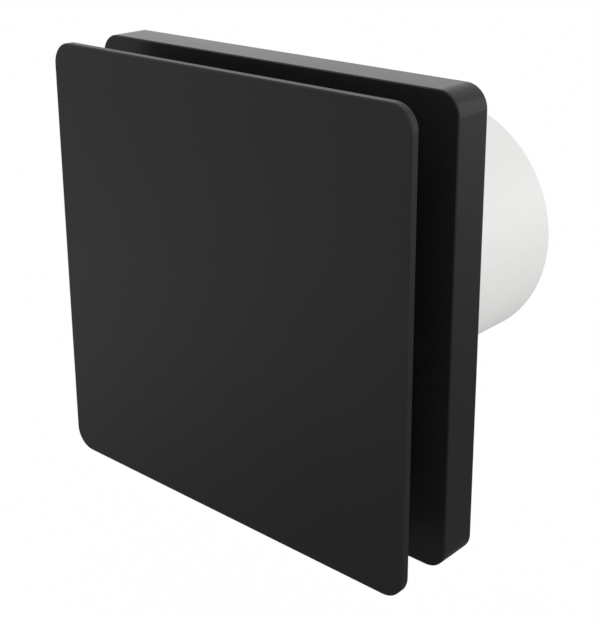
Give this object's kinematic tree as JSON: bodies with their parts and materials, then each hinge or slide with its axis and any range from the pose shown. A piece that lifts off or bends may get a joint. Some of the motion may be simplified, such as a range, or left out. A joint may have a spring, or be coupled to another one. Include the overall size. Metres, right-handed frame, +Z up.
{
  "type": "bathroom extractor fan",
  "caption": "Wall-mounted bathroom extractor fan with a flat square panel, an edge air gap, a duct spigot, a motor-driven impeller and a two-flap backdraught shutter.",
  "frame": {"origin": "on the duct axis, in the plane of the wall that the fan's back plate lies against", "axes": "+Y along the duct axis into the wall, +Z up, +X to the right seen from the room; the panel faces -Y"},
  "size_m": [0.16, 0.1302, 0.16],
  "materials": {
    "panel_black": "satin black moulded plastic",
    "frame_black": "satin black moulded plastic with rounded edges",
    "body_white": "smooth semi-matt white ABS",
    "carrier_white": "semi-matt white ABS",
    "shutter_white": "semi-matt white ABS",
    "flap_grey": "thin light grey polypropylene",
    "impeller_grey": "light grey moulded plastic",
    "stud_black": "matt black nylon",
    "bush_nylon": "natural nylon",
    "zinc_screw": "zinc plated",
    "bright_steel": "ground steel",
    "spring_steel": "drawn spring steel",
    "bearing_steel": "polished bearing steel",
    "motor_case": "galvanised pressed sheet",
    "core_steel": "stacked silicon-steel laminations",
    "rotor_steel": "cast cage in laminated steel",
    "coil_copper": "enamelled copper winding",
    "damper_rubber": "matt black rubber",
    "grommet_rubber": "matt black rubber",
    "terminal_nylon": "natural polyamide",
    "terminal_brass": "nickel-free brass",
    "cover_grey": "matt grey plastic",
    "lead_brown": "PVC insulation",
    "lead_blue": "PVC insulation"
  },
  "bodies": {
    "fan_unit": {"fan_body": "body_white", "bearing_outer_races": "bearing_steel", "cord_clamp": "terminal_nylon", "cord_clamp_screws": "zinc_screw", "cord_grommet": "grommet_rubber", "flap_pin": "bright_steel", "flap_spring": "spring_steel", "frame_cover": "frame_black", "frame_screws": "zinc_screw", "motor_carrier": "carrier_white", "motor_damper_front": "damper_rubber", "motor_damper_rear": "damper_rubber", "motor_front_bell": "motor_case", "motor_lead_live": "lead_brown", "motor_lead_neutral": "lead_blue", "motor_rear_bell": "motor_case", "motor_retainer": "carrier_white", "retainer_screws": "zinc_screw", "shutter_ring": "shutter_white", "stator_coils": "coil_copper", "stator_core": "core_steel", "stud_bush_bottom_left": "bush_nylon", "stud_bush_bottom_right": "bush_nylon", "stud_bush_top_left": "bush_nylon", "stud_bush_top_right": "bush_nylon", "terminal_block": "terminal_nylon", "terminal_clamps": "terminal_brass", "terminal_cover": "cover_grey", "terminal_screws": "zinc_screw"},
    "rotor": {"motor_shaft": "bright_steel", "rotor_core": "rotor_steel", "bearing_inner_races": "bearing_steel", "bearing_balls": "bearing_steel", "impeller": "impeller_grey", "impeller_nut": "spring_steel"},
    "panel": {"front_panel": "panel_black", "panel_stud_bottom_left": "stud_black", "panel_stud_bottom_right": "stud_black", "panel_stud_top_left": "stud_black", "panel_stud_top_right": "stud_black"},
    "right_flap": {"flap_right": "flap_grey"},
    "left_flap": {"flap_left": "flap_grey"}
  },
  "joints": [
    {"name": "impeller_spin", "type": "hinge", "parent": "fan_unit", "child": "rotor", "pos_m": [0, 0, 0], "axis": [0, 1, 0], "continuous": true},
    {"name": "panel_pull", "type": "slide", "parent": "fan_unit", "child": "panel", "axis": [0, -1, 0], "range_m": [0, 0.03]},
    {"name": "right_flap_hinge", "type": "hinge", "parent": "fan_unit", "child": "right_flap", "pos_m": [0, 0.0838, 0], "axis": [0, 0, 1], "range_deg": [0, 75], "stiffness_Nm_per_rad": 0.0005, "deforming": ["flap_spring"]},
    {"name": "left_flap_hinge", "type": "hinge", "parent": "fan_unit", "child": "left_flap", "pos_m": [0, 0.0838, 0], "axis": [0, 0, -1], "range_deg": [0, 75], "stiffness_Nm_per_rad": 0.0005, "deforming": ["flap_spring"]}
  ]
}
